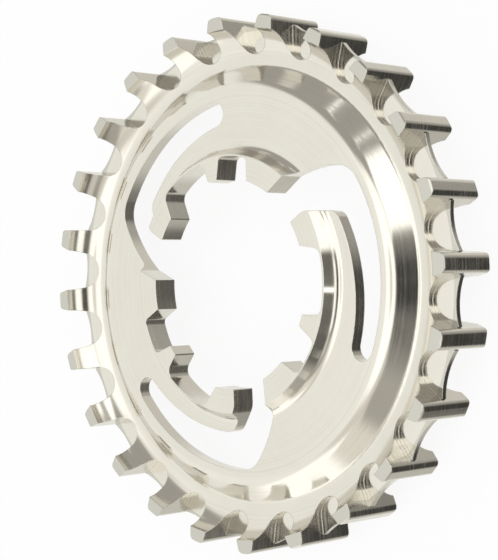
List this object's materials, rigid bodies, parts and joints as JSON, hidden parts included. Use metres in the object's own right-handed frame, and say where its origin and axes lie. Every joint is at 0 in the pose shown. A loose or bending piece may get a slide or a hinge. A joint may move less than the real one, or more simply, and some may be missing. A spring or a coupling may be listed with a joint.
{
  "type": "belt drive sprocket",
  "caption": "Dished one-piece rear sprocket for a toothed bicycle belt, with a centre fin between wide teeth and a splined bore on three spring arms",
  "frame": {"origin": "on the bore axis, at the level of the rear ends of the teeth, which is also the bottom centre of the bounding box", "axes": "+Z along the bore axis, towards the front (outboard) side with the raised spline boss; +X through the centre of one tooth; the sprocket lies flat on the rear ends of its teeth"},
  "size_m": [0.0826, 0.0826, 0.0112],
  "materials": {
    "steel": "fine machined stainless steel, bright, with faint turning and cutter lines"
  },
  "bodies": {
    "root": {"sprocket": "steel"}
  },
  "joints": []
}
